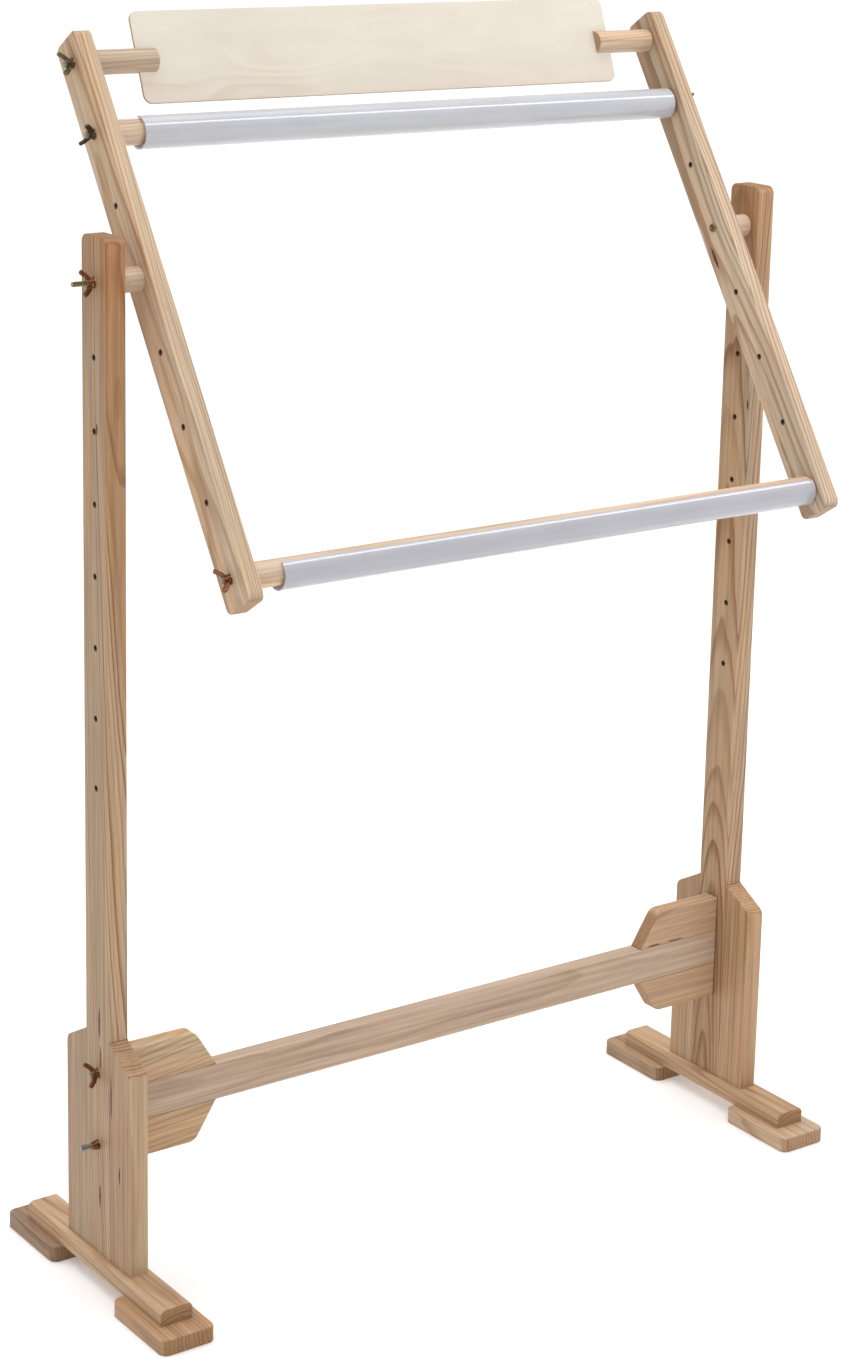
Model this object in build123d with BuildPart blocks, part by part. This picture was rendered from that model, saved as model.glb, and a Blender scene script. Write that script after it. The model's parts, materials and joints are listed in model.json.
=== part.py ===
from build123d import *
from math import cos, radians, sin
import os

# A floor-standing scroll frame for embroidery, in millimetres.
# +X runs along the rods, -Y faces the person at work, +Z is up.
# The origin is on the floor, midway between the two posts.

# ---- driving dimensions ------------------------------------------------------------------

ROD_SPAN = 684.0  # clear width between the two side bars: a 27 inch scroll rod
BAR_T = 17.0
BAR_W = 44.0
BAR_PITCH = 75.0
BAR_ABOVE = 251.0  # from the pivot to the top end of a side bar
BAR_BELOW = 329.0  # from the pivot to the bottom end of a side bar
BAR_CORNER = 8.0
TILT = 33.4  # lean of the tilting frame from upright, top to the rear

SPACER_L = 26.0
SPACER_R = 12.0

POST_T = 21.0
POST_W = 46.0
POST_TOP = 1055.0
POST_CORNER = 8.0
PIVOT_Z = 1011.5
POST_PITCH = 70.0
HOLE_COUNT = 8

PAD_T = 17.0
PAD_W = 60.0
PAD_L = 100.0
PAD_REACH = 160.0  # from the post's centre plane to a pad's far end
PAD_CORNER = 9.0
PAD_EASE = 2.5
FOOT_T = 17.0
FOOT_W = 36.0
FOOT_L = 270.0
FOOT_CORNER = 6.0
FOOT_TOP = PAD_T + FOOT_T

SHOULDER_REACH = 62.5
SHOULDER_TOP = 267.0  # where a shoulder's sloping top meets the post
SHOULDER_LOW = 245.0  # where the slope would meet the outer edge
SHOULDER_CORNER = 10.0

RAIL_T = 18.0
RAIL_H = 38.0
RAIL_Z = 189.0
GUSSET_H = 40.0
GUSSET_LONG = 110.0  # along the rail
GUSSET_SHORT = 85.0  # along the far edge
GUSSET_CORNER = 13.0
STRETCHER_STUD_UP = 38.0  # the stretcher's studs lie this far above and below the rail's middle

DOWEL_R = 12.7
PEG_R = 12.0
PEG_L = 72.0
BOARD_L = 578.0
BOARD_H = 92.0
BOARD_T = 3.0
BOARD_CORNER = 9.0
BOARD_TILT = 21.5  # lean of the chart board from upright
BOARD_UP = 3.0  # the board stands this far above the middle of the pegs
KERF_DEPTH = 20.0
KERF_PLAY = 0.2  # each side of the board

CLIP_R = 16.0
CLIP_WALL = 1.6
CLIP_L = 650.0
CLIP_MOUTH = 105.0  # angle of the opening along the clip
CLIP_OFFSET = 1.4  # the dowel sits this much towards the mouth
CLIP_END_GAP = {"top": 4.0, "bottom": 1.5}  # from the clip to the right side bar
CLIP_MOUTH_AT = {"top": 30.0, "bottom": 71.0}  # direction of the mouth, from +Y towards +Z

BOLT_R = 2.5
BORE_R = 2.58  # running fit on the bolt
PILOT_R = 2.55
STUD_DEPTH = 24.0
SOCKET_DEPTH = 32.0  # in the gussets
WASHER_T = 1.0
WASHER_R = 5.5
WASHER_BORE_R = 2.8
NUT_HUB_H = 7.0
NUT_FLANGE_H = 1.2
NUT_FLANGE_R = 4.9
NUT_WAIST_H = 2.4
NUT_WAIST_R = 4.1
NUT_TOP_R = 3.7
WING_T = 3.0
WING_BAND = 5.2
WING_L = 13.4
WING_ROOT = 3.1  # a wing starts here, inside the hub's wall
WING_AT = (7.7, 7.4)  # a wing's middle, from the axis and from the seat
WING_RISE = 38.0  # lean of a wing, from the seat's plane
HEAD_R = 4.6
HEAD_RIM = 1.0
HEAD_H = 2.8
TIP_CHAMFER = 0.5
STUD_PROUD = 1.6  # a stud's end beyond its wing nut
LOW_STUD_PROUD = 11.0  # the two lower stretcher studs stand out further
STRETCHER_STUD_L = 54.0
PIVOT_PROUD = {"left": 14.5, "right": 6.0}  # the left pivot bolt is the longer one

EASE = 1.2  # sanded edges of the boards
SLIM_EASE = 0.8
CLIP_EASE = 0.6
BOARD_EASE = 0.5
SEAT_GAP = 0.05
END_GAP = 0.15  # between a turning end and the bar it bears on
SOCKET_SPARE = 1.0  # a socket runs this much deeper than its stud

BAR_IN = ROD_SPAN / 2
BAR_OUT = BAR_IN + BAR_T
POST_IN = BAR_OUT + SPACER_L
POST_OUT = POST_IN + POST_T
SIDES = {"left": -1, "right": 1}

# distances up the side bar from the pivot
PEG_AT = 3 * BAR_PITCH
TOP_ROD_AT = 2 * BAR_PITCH
BOTTOM_ROD_AT = -4 * BAR_PITCH

os.makedirs("parts", exist_ok=True)


# ---- helpers -----------------------------------------------------------------------------


def save(piece, name):
    piece.part.label = name
    export_step(piece.part, f"parts/{name}.step")


def side_plane(x):
    """Upright plane across the width: local x is +Y and local y is +Z."""
    return Plane.YZ.offset(x)


def bar_plane(x, lean=TILT, up=0.0):
    """Plane of a leaning board: local x is to the rear, local y is up along the board."""
    rear = (0, cos(radians(lean)), -sin(radians(lean)))
    return Plane(origin=on_bar(x, up), x_dir=rear, z_dir=(1, 0, 0))


def on_bar(x, up):
    """A point on the tilting frame's centre plane, a distance up the side bar from the pivot."""
    return (x, up * sin(radians(TILT)), PIVOT_Z + up * cos(radians(TILT)))


def outward(x, centre, side, turn=0.0):
    """Plane at x with its normal pointing away from the middle; turn swings local x about it."""
    direction = (0, cos(radians(turn)), sin(radians(turn)))
    return Plane(origin=(side * x, centre[1], centre[2]), x_dir=direction, z_dir=(side, 0, 0))


def round_bar(seat, radius, length, mode=Mode.ADD):
    """A cylinder standing on a plane, or a round hole sunk from it."""
    with BuildSketch(seat, mode=Mode.PRIVATE) as disc:
        Circle(radius)
    extrude(disc.sketch, amount=length, mode=mode)


def inner_x(side, inner, thickness):
    """The lower x of a board that lies between inner and inner + thickness on one side."""
    return inner if side > 0 else -inner - thickness


def ease_faces(part, radius, keep):
    """Round the edges of the two broad faces across X, but only those that keep accepts."""
    edges = [e for e in part.faces().filter_by(Axis.X).edges() if keep(e.center())]
    fillet(edges, radius=radius)


# ---- uprights ----------------------------------------------------------------------------

pivot = (0, 0, PIVOT_Z)
post_holes = [PIVOT_Z - i * POST_PITCH for i in range(HOLE_COUNT)]
stud_heights = {"upper": RAIL_Z + STRETCHER_STUD_UP, "lower": RAIL_Z - STRETCHER_STUD_UP}

for name, side in SIDES.items():
    low_x = inner_x(side, POST_IN, POST_T)
    with BuildPart() as post:
        free_h = POST_TOP - SHOULDER_TOP
        with BuildSketch(side_plane(low_x)):
            with Locations((0, SHOULDER_TOP + free_h / 2)):
                outline = Rectangle(POST_W, free_h)
            fillet(outline.vertices().group_by(Axis.Y)[-1], radius=POST_CORNER)
        extrude(amount=POST_T)
        ease_faces(post, EASE, lambda c: c.Z > SHOULDER_TOP + 1)
        joined_h = SHOULDER_TOP - FOOT_TOP
        with BuildSketch(side_plane(low_x)):
            with Locations((0, FOOT_TOP + joined_h / 2)):
                Rectangle(POST_W, joined_h)
        extrude(amount=POST_T)
        with BuildSketch(side_plane(low_x)):
            with Locations(*[(0, z) for z in post_holes]):
                Circle(BORE_R)
            with Locations(*[(0, z) for z in stud_heights.values()]):
                Circle(BORE_R)
        extrude(amount=POST_T, mode=Mode.SUBTRACT)
    save(post, f"post_{name}")

# ---- shoulders glued to the front and the rear of each post --------------------------------

for name, side in SIDES.items():
    low_x = inner_x(side, POST_IN, POST_T)
    for place, facing in {"front": -1, "rear": 1}.items():
        inner_y = facing * POST_W / 2
        outer_y = facing * SHOULDER_REACH
        with BuildPart() as shoulder:
            with BuildSketch(side_plane(low_x)):
                with BuildLine():
                    Polyline(
                        (inner_y, FOOT_TOP),
                        (outer_y, FOOT_TOP),
                        (outer_y, SHOULDER_LOW),
                        (inner_y, SHOULDER_TOP),
                        close=True,
                    )
                outline = make_face()
                corner = [v for v in outline.vertices() if abs(v.Y - SHOULDER_LOW) < 1]
                fillet(corner, radius=SHOULDER_CORNER)
            extrude(amount=POST_T)
            ease_faces(
                shoulder,
                EASE,
                lambda c: c.Z > FOOT_TOP + 1 and abs(c.Y) > POST_W / 2 + 1,
            )
        save(shoulder, f"shoulder_{name}_{place}")

# ---- feet --------------------------------------------------------------------------------

for name, side in SIDES.items():
    foot_x = side * (POST_IN + POST_T / 2)
    with BuildPart() as foot:
        with BuildSketch(Plane.XZ.offset(-FOOT_L / 2)):
            with Locations((foot_x, PAD_T + FOOT_T / 2)):
                outline = Rectangle(FOOT_W, FOOT_T)
            fillet(outline.vertices().group_by(Axis.Y)[-1], radius=FOOT_CORNER)
        extrude(amount=FOOT_L)
        fillet(foot.faces().filter_by(Axis.Y).edges(), radius=EASE)
    save(foot, f"foot_bar_{name}")

    for place, facing in {"front": -1, "rear": 1}.items():
        with BuildPart() as pad:
            with BuildSketch(Plane(origin=(foot_x, facing * (PAD_REACH - PAD_L / 2), 0))):
                RectangleRounded(PAD_W, PAD_L, PAD_CORNER)
            extrude(amount=PAD_T)
            fillet(pad.faces().sort_by(Axis.Z)[-1].edges(), radius=PAD_EASE)
            chamfer(pad.faces().sort_by(Axis.Z)[0].edges(), length=SLIM_EASE)
        save(pad, f"foot_pad_{name}_{place}")

# ---- stretcher between the uprights --------------------------------------------------------

with BuildPart() as rail:
    with BuildSketch(side_plane(-POST_IN)):
        with Locations((0, RAIL_Z)):
            Rectangle(RAIL_T, RAIL_H)
    extrude(amount=2 * POST_IN)
save(rail, "stretcher_rail")

for name, side in SIDES.items():
    for place, away in {"upper": 1, "lower": -1}.items():
        near_z = RAIL_Z + away * RAIL_H / 2
        far_z = near_z + away * GUSSET_H
        with BuildPart() as gusset:
            with BuildSketch(Plane.XZ.offset(-RAIL_T / 2)):
                with BuildLine():
                    Polyline(
                        (side * POST_IN, near_z),
                        (side * (POST_IN - GUSSET_LONG), near_z),
                        (side * (POST_IN - GUSSET_SHORT), far_z),
                        (side * POST_IN, far_z),
                        close=True,
                    )
                outline = make_face()
                tips = [
                    v
                    for v in outline.vertices()
                    if abs(v.Y - far_z) < 1 and abs(v.X) < POST_IN - 1
                ]
                fillet(tips, radius=GUSSET_CORNER)
            extrude(amount=RAIL_T)
            broad = gusset.faces().filter_by(Axis.Y).edges()
            free = [
                e
                for e in broad
                if abs(e.center().X) < POST_IN - 1 and abs(e.center().Z - near_z) > 1
            ]
            fillet(free, radius=EASE)
            mouth = outward(POST_IN, (0, 0, stud_heights[place]), side)
            round_bar(mouth, PILOT_R, -SOCKET_DEPTH, mode=Mode.SUBTRACT)
        save(gusset, f"gusset_{name}_{place}")

# ---- studs, washers and bolts --------------------------------------------------------------

NUT_STACK = WASHER_T + SEAT_GAP + NUT_HUB_H

with BuildPart() as studs:
    for side in SIDES.values():
        for place, proud in {"upper": STUD_PROUD, "lower": LOW_STUD_PROUD}.items():
            tip_x = POST_OUT + NUT_STACK + proud
            root = outward(tip_x - STRETCHER_STUD_L, (0, 0, stud_heights[place]), side)
            round_bar(root, BOLT_R, STRETCHER_STUD_L)
    ends = studs.edges().filter_by(GeomType.CIRCLE)
    chamfer([e for e in ends if abs(e.center().X) > POST_OUT], length=TIP_CHAMFER)
save(studs, "stretcher_studs")


def washers(name, face_x, centres):
    with BuildPart() as group:
        for side in SIDES.values():
            for centre in centres:
                with BuildSketch(outward(face_x, centre, side)):
                    Circle(WASHER_R)
                    Circle(WASHER_BORE_R, mode=Mode.SUBTRACT)
                extrude(amount=WASHER_T)
    save(group, name)


stud_centres = {place: (0, 0, z) for place, z in stud_heights.items()}
frame_centres = {
    "peg": on_bar(0, PEG_AT),
    "rod_top": on_bar(0, TOP_ROD_AT),
    "rod_bottom": on_bar(0, BOTTOM_ROD_AT),
}
washers("post_washers", POST_OUT, [pivot, *stud_centres.values()])
washers("bar_washers", BAR_OUT, frame_centres.values())

for name, side in SIDES.items():
    length = POST_OUT - BAR_IN + NUT_STACK + PIVOT_PROUD[name]
    with BuildPart() as bolt:
        round_bar(outward(BAR_IN, pivot, side), BOLT_R, length)
        tip = bolt.faces().sort_by(Axis.X)[-1 if side > 0 else 0]
        chamfer(tip.edges(), length=TIP_CHAMFER)
        seat = outward(BAR_IN, pivot, side)
        across = Plane(origin=seat.origin, x_dir=seat.x_dir, z_dir=seat.y_dir)
        with BuildSketch(across):
            with BuildLine():
                Line((0, 0), (HEAD_R, 0))
                rim = Line((HEAD_R, 0), (HEAD_R, HEAD_RIM))
                TangentArc((0, HEAD_H), rim @ 1, tangent=(1, 0))
                Line((0, HEAD_H), (0, 0))
            make_face()
        revolve(axis=Axis(seat.origin, seat.z_dir))
    save(bolt, f"pivot_bolt_{name}")

    with BuildPart() as spacer:
        with BuildSketch(outward(BAR_OUT, pivot, side)):
            Circle(SPACER_R)
            Circle(WASHER_BORE_R, mode=Mode.SUBTRACT)
        extrude(amount=SPACER_L - END_GAP)
    save(spacer, f"spacer_{name}")

# ---- side bars of the tilting frame --------------------------------------------------------

bar_holes = [PEG_AT - i * BAR_PITCH for i in range(HOLE_COUNT)]

for name, side in SIDES.items():
    low_x = inner_x(side, BAR_IN, BAR_T)
    with BuildPart() as bar:
        with BuildSketch(bar_plane(low_x)):
            with Locations((0, (BAR_ABOVE - BAR_BELOW) / 2)):
                RectangleRounded(BAR_W, BAR_ABOVE + BAR_BELOW, BAR_CORNER)
        extrude(amount=BAR_T)
        fillet(bar.faces().filter_by(Axis.X).edges(), radius=EASE)
        with BuildSketch(bar_plane(low_x)):
            with Locations(*[(0, up) for up in bar_holes]):
                Circle(BORE_R)
        extrude(amount=BAR_T, mode=Mode.SUBTRACT)
    save(bar, f"side_bar_{name}")

# ---- scroll rods and the clips that hold the cloth on them ----------------------------------


def studs_through_bar(inner_end, centre):
    """The two studs of one rod, from inside the dowel's ends to beyond the wing nuts."""
    length = BAR_OUT + NUT_STACK + STUD_PROUD - inner_end
    for side in SIDES.values():
        round_bar(outward(inner_end, centre, side), BOLT_R, length)
    ends = studs.edges().filter_by(GeomType.CIRCLE)
    chamfer([e for e in ends if abs(e.center().X) > BAR_OUT], length=TIP_CHAMFER)


for name, up in {"top": TOP_ROD_AT, "bottom": BOTTOM_ROD_AT}.items():
    centre = on_bar(0, up)
    half = BAR_IN - END_GAP
    with BuildPart() as rod:
        round_bar(outward(half, centre, -1), DOWEL_R, -2 * half)
        fillet(rod.edges().filter_by(GeomType.CIRCLE), radius=SLIM_EASE)
        for side in SIDES.values():
            mouth = outward(half, centre, side)
            round_bar(mouth, PILOT_R, -STUD_DEPTH, mode=Mode.SUBTRACT)
    save(rod, f"rod_{name}")

    with BuildPart() as studs:
        studs_through_bar(half - STUD_DEPTH + SOCKET_SPARE, centre)
    save(studs, f"rod_{name}_studs")

    mouth_at = radians(CLIP_MOUTH_AT[name])
    clip_y = centre[1] - CLIP_OFFSET * cos(mouth_at)
    clip_z = centre[2] - CLIP_OFFSET * sin(mouth_at)
    clip_x = BAR_IN - CLIP_END_GAP[name] - CLIP_L
    clip_end = Plane(
        origin=(clip_x, clip_y, clip_z),
        x_dir=(0, cos(mouth_at), sin(mouth_at)),
        z_dir=(1, 0, 0),
    )
    with BuildPart() as clip:
        with BuildSketch(clip_end):
            Circle(CLIP_R)
            Circle(CLIP_R - CLIP_WALL, mode=Mode.SUBTRACT)
            reach = 2 * CLIP_R
            lip = (reach * cos(radians(CLIP_MOUTH / 2)), reach * sin(radians(CLIP_MOUTH / 2)))
            with BuildLine():
                Polyline((0, 0), (lip[0], -lip[1]), (2 * reach, 0), lip, close=True)
            make_face(mode=Mode.SUBTRACT)
        extrude(amount=CLIP_L)
        fillet(clip.edges().filter_by(Axis.X), radius=CLIP_EASE)
    save(clip, f"clip_{name}")

# ---- pegs and the chart board they hold -----------------------------------------------------

peg_centre = on_bar(0, PEG_AT)

for name, side in SIDES.items():
    seat_x = BAR_IN - END_GAP
    tip_x = BAR_IN - PEG_L
    with BuildPart() as peg:
        round_bar(outward(tip_x, peg_centre, side), PEG_R, seat_x - tip_x)
        fillet(peg.edges().filter_by(GeomType.CIRCLE), radius=SLIM_EASE)
        kerf_low = inner_x(side, tip_x, KERF_DEPTH)
        with BuildSketch(bar_plane(kerf_low, BOARD_TILT, PEG_AT)):
            Rectangle(BOARD_T + 2 * KERF_PLAY, 3 * PEG_R)
        extrude(amount=KERF_DEPTH, mode=Mode.SUBTRACT)
        round_bar(outward(seat_x, peg_centre, side), PILOT_R, -STUD_DEPTH, mode=Mode.SUBTRACT)
    save(peg, f"peg_{name}")

    with BuildPart() as stud:
        root_x = seat_x - STUD_DEPTH + SOCKET_SPARE
        length = BAR_OUT + NUT_STACK + STUD_PROUD - root_x
        round_bar(outward(root_x, peg_centre, side), BOLT_R, length)
        tip = stud.faces().sort_by(Axis.X)[-1 if side > 0 else 0]
        chamfer(tip.edges(), length=TIP_CHAMFER)
    save(stud, f"peg_{name}_stud")

board_normal = (0, -cos(radians(BOARD_TILT)), sin(radians(BOARD_TILT)))
with BuildPart() as board:
    with BuildSketch(Plane(origin=peg_centre, x_dir=(1, 0, 0), z_dir=board_normal)):
        with Locations((0, BOARD_UP)):
            RectangleRounded(BOARD_L, BOARD_H, BOARD_CORNER)
    extrude(amount=BOARD_T / 2, both=True)
    broad = board.faces().filter_by(Axis(peg_centre, board_normal))
    fillet(broad.edges(), radius=BOARD_EASE)
save(board, "chart_board")

# ---- wing nuts -----------------------------------------------------------------------------


def wing_nut(name, face_x, centre, side, turn):
    """A wing nut seated on the washer at face_x; turn is the wings' direction from +Y."""
    seat = outward(face_x + WASHER_T + SEAT_GAP, centre, side, turn)
    across_wings = Plane(origin=seat.origin, x_dir=seat.y_dir, z_dir=seat.x_dir)
    along_wings = Plane(origin=seat.origin, x_dir=seat.x_dir, z_dir=-seat.y_dir)
    with BuildPart() as nut:
        with BuildSketch(across_wings):
            with BuildLine():
                Polyline(
                    (BORE_R, 0),
                    (NUT_FLANGE_R, 0),
                    (NUT_FLANGE_R, NUT_FLANGE_H),
                    (NUT_WAIST_R, NUT_WAIST_H),
                    (NUT_TOP_R, NUT_HUB_H),
                    (BORE_R, NUT_HUB_H),
                    close=True,
                )
            make_face()
        revolve(axis=Axis(seat.origin, seat.z_dir))
        with BuildSketch(along_wings):
            for way in (1, -1):
                with Locations((way * WING_AT[0], WING_AT[1])):
                    SlotOverall(WING_L, WING_BAND, rotation=way * WING_RISE)
            Rectangle(2 * WING_ROOT, 4 * NUT_HUB_H, mode=Mode.SUBTRACT)
        extrude(amount=WING_T / 2, both=True)
    save(nut, name)


# wing directions in degrees from +Y towards +Z, left then right
NUT_TURNS = {
    "pivot": (62, 95),
    "stretcher_upper": (62, 100),
    "stretcher_lower": (-24, 80),
    "peg": (46, 36),
    "rod_top": (118, 138),
    "rod_bottom": (34, 8),
}
nut_centres = {
    "pivot": pivot,
    "stretcher_upper": stud_centres["upper"],
    "stretcher_lower": stud_centres["lower"],
    **frame_centres,
}
for place, turns in NUT_TURNS.items():
    face_x = BAR_OUT if place in frame_centres else POST_OUT
    for (name, side), turn in zip(SIDES.items(), turns):
        wing_nut(f"wing_nut_{place}_{name}", face_x, nut_centres[place], side, turn)
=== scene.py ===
"""A floor-standing scroll frame for embroidery: the looks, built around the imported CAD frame.

Metres, in the row frame: +X along the rods, -Y towards the person at work, +Z up.
"""

import json
import math

import bpy
from mathutils import Matrix, Vector


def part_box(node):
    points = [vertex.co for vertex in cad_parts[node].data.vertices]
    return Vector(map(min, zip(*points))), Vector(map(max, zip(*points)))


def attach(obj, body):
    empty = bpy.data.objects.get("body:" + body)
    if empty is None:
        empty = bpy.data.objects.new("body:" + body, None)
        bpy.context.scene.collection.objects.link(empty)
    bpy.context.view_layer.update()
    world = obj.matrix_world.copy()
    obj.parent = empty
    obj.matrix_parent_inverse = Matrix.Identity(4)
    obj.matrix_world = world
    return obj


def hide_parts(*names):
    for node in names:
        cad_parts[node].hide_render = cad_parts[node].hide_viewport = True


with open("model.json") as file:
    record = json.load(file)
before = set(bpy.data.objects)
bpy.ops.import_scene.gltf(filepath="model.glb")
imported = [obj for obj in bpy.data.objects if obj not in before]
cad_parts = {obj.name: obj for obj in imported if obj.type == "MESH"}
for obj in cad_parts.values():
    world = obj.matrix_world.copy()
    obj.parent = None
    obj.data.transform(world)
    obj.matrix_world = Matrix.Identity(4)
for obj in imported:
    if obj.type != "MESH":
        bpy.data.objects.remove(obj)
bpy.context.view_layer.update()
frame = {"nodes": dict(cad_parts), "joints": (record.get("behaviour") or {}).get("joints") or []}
scene = bpy.context.scene
MM = 0.001
SIDES = {"left": -1, "right": 1}
X, Y, Z = Vector((1, 0, 0)), Vector((0, 1, 0)), Vector((0, 0, 1))
SHARP_ANGLE = math.radians(32)  # edges sharper than this stay creased
joints = {joint["name"]: joint for joint in frame["joints"]}

# ---- camera ------------------------------------------------------------------------------

CAMERA_AT = Vector((-1.7109, -2.3630, 1.4666))
CAMERA_YAW = math.radians(-35.92)  # 0 looks along +Y
CAMERA_DIP = math.radians(13.51)
CAMERA_ROLL = math.radians(1.34)
SENSOR = 36.0
LENS = 77.86
SHIFT = (-0.0188, -0.1403)


def add_camera():
    away = Vector((math.sin(CAMERA_YAW), -math.cos(CAMERA_YAW), 0)) * math.cos(CAMERA_DIP)
    away.z = math.sin(CAMERA_DIP)
    level = Vector((math.cos(CAMERA_YAW), math.sin(CAMERA_YAW), 0))
    upright = away.cross(level)
    right = level * math.cos(CAMERA_ROLL) + upright * math.sin(CAMERA_ROLL)
    up = away.cross(right)
    data = bpy.data.cameras.new("camera")
    data.sensor_width = SENSOR
    data.lens = LENS
    data.shift_x, data.shift_y = SHIFT
    camera = bpy.data.objects.new("camera", data)
    turn = Matrix((right, up, away)).transposed().to_4x4()
    camera.matrix_world = Matrix.Translation(CAMERA_AT) @ turn
    scene.collection.objects.link(camera)
    scene.camera = camera


# ---- studio ------------------------------------------------------------------------------

SKY_TOP = 0.86
SKY_LOW = 0.40
HORIZON = 1.0
HORIZON_BAND = (0.06, 0.20)  # height of the sky, as a sine, where it dims
FLOOR_HALF = 40.0
FLOOR_WHITE = 0.95
FLOOR_ROUGH = 0.9
FLOOR_GLOSS = 0.1
CEILING_STRENGTH = 1.45  # a broad soft light from overhead
CEILING_SPREAD = math.radians(70)
CEILING_LEAN = math.radians(12)  # from upright, towards the front
STRIP_AT = Vector((1.95, -1.05, 3.3))  # a long light whose reflection runs along the clips
STRIP_SIZE = (3.2, 0.55)
STRIP_POWER = 48.0


def add_sky():
    """An even white room: bright overhead, dimmer walls, and white again at the horizon."""
    world = bpy.data.worlds.new("sky")
    scene.world = world
    world.use_nodes = True
    tree = world.node_tree
    coords = tree.nodes.new("ShaderNodeTexCoord")
    parts = tree.nodes.new("ShaderNodeSeparateXYZ")
    tree.links.new(coords.outputs["Generated"], parts.inputs[0])
    brighter = tree.nodes.new("ShaderNodeMath")
    brighter.operation = "MAXIMUM"
    bands = ((0.0, 1.0, SKY_LOW, SKY_TOP), (*HORIZON_BAND, HORIZON, SKY_LOW))
    for index, band in enumerate(bands):
        rise = tree.nodes.new("ShaderNodeMapRange")
        for key, value in zip(("From Min", "From Max", "To Min", "To Max"), band):
            rise.inputs[key].default_value = value
        tree.links.new(parts.outputs["Z"], rise.inputs["Value"])
        tree.links.new(rise.outputs[0], brighter.inputs[index])
    background = tree.nodes["Background"]
    background.inputs["Color"].default_value = (1.0, 1.0, 1.0, 1.0)
    tree.links.new(brighter.outputs[0], background.inputs["Strength"])


def add_lights():
    ceiling = bpy.data.lights.new("ceiling", "SUN")
    ceiling.energy = CEILING_STRENGTH
    ceiling.angle = CEILING_SPREAD
    above = bpy.data.objects.new("ceiling", ceiling)
    above.rotation_euler = (-CEILING_LEAN, 0, 0)
    scene.collection.objects.link(above)
    strip = bpy.data.lights.new("strip", "AREA")
    strip.shape = "RECTANGLE"
    strip.size, strip.size_y = STRIP_SIZE
    strip.energy = STRIP_POWER
    strip.use_shadow = False
    tube = bpy.data.objects.new("strip", strip)
    tube.location = STRIP_AT
    scene.collection.objects.link(tube)


def add_floor():
    reach = FLOOR_HALF
    corners = [(-reach, -reach, 0), (reach, -reach, 0), (reach, reach, 0), (-reach, reach, 0)]
    mesh = bpy.data.meshes.new("floor")
    mesh.from_pydata(corners, [], [(0, 1, 2, 3)])
    floor = bpy.data.objects.new("floor", mesh)
    scene.collection.objects.link(floor)
    material = bpy.data.materials.new("floor")
    material.use_nodes = True
    surface = material.node_tree.nodes["Principled BSDF"]
    surface.inputs["Base Color"].default_value = (FLOOR_WHITE, FLOOR_WHITE, FLOOR_WHITE, 1)
    surface.inputs["Roughness"].default_value = FLOOR_ROUGH
    surface.inputs["Specular IOR Level"].default_value = FLOOR_GLOSS
    mesh.materials.append(material)


add_camera()
add_sky()
add_lights()
add_floor()
scene.view_settings.view_transform = "Standard"

# ---- node trees, written as formulas -----------------------------------------------------

NOISE_VALUE, NOISE_COLOUR = 0, 1  # a noise node's outputs


class Recipe:
    """One material's node tree; each method adds a node and returns its output."""

    def __init__(self, name):
        self.material = bpy.data.materials.new(name)
        self.material.use_nodes = True
        self.tree = self.material.node_tree
        self.surface = self.tree.nodes["Principled BSDF"]
        self.coords = self.tree.nodes.new("ShaderNodeTexCoord")

    def give(self, value, socket):
        if isinstance(value, bpy.types.NodeSocket):
            self.tree.links.new(value, socket)
        elif socket.type == "RGBA" and len(value) == 3:
            socket.default_value = (*value, 1.0)
        else:
            socket.default_value = value

    def node(self, kind, inputs, output=0, **settings):
        made = self.tree.nodes.new("ShaderNode" + kind)
        for key, value in settings.items():
            setattr(made, key, value)
        for key, value in inputs.items():
            self.give(value, made.inputs[key])
        return made.outputs[output]

    def place(self):
        return self.coords.outputs["Object"]

    def normal(self):
        return self.coords.outputs["Normal"]

    def calc(self, operation, *values):
        return self.node("Math", dict(enumerate(values)), operation=operation)

    def add(self, *values):
        total = values[0]
        for value in values[1:]:
            total = self.calc("ADD", total, value)
        return total

    def times(self, a, b):
        return self.calc("MULTIPLY", a, b)

    def vector(self, operation, *values):
        return self.node("VectorMath", dict(enumerate(values)), operation=operation)

    def dot(self, a, b):
        return self.node("VectorMath", {0: a, 1: b}, output="Value", operation="DOT_PRODUCT")

    def length(self, *values):
        squares = [self.times(value, value) for value in values]
        return self.calc("SQRT", self.add(*squares))

    def combine(self, x, y, z):
        return self.node("CombineXYZ", {0: x, 1: y, 2: z})

    def noise(self, vector, detail=2.0, roughness=0.5, scale=1.0, output=NOISE_VALUE):
        inputs = {"Vector": vector, "Scale": scale, "Detail": detail, "Roughness": roughness}
        return self.node("TexNoise", inputs, output)

    def dice(self, value):
        """A random number from 0 to 1 for each whole number."""
        return self.node("TexWhiteNoise", {"W": value}, noise_dimensions="1D")

    def ramp(self, value, low, high, start=0.0, end=1.0):
        """A smooth step from start, at low, to end, at high."""
        inputs = {0: value, 1: low, 2: high, 3: start, 4: end}
        return self.node("MapRange", inputs, interpolation_type="SMOOTHSTEP")

    def mix(self, factor, a, b, blend="MIX"):
        """From colour a to colour b: a Mix node's colours are its inputs 6 and 7."""
        inputs = {0: factor, 6: a, 7: b}
        return self.node("Mix", inputs, output=2, data_type="RGBA", blend_type=blend)

    def multiply(self, a, b):
        return self.mix(1.0, a, b, blend="MULTIPLY")

    def shade(self, colour, amount):
        """A colour, or a place, times a number."""
        return self.node("VectorMath", {0: colour, "Scale": amount}, operation="SCALE")

    def bump(self, height, strength, distance):
        inputs = {"Strength": strength, "Distance": distance, "Height": height}
        self.give(self.node("Bump", inputs), self.surface.inputs["Normal"])

    def set(self, **sockets):
        """Sets the surface's sockets: a name's underscores stand for spaces."""
        for key, value in sockets.items():
            self.give(value, self.surface.inputs[key.replace("_", " ")])


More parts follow.
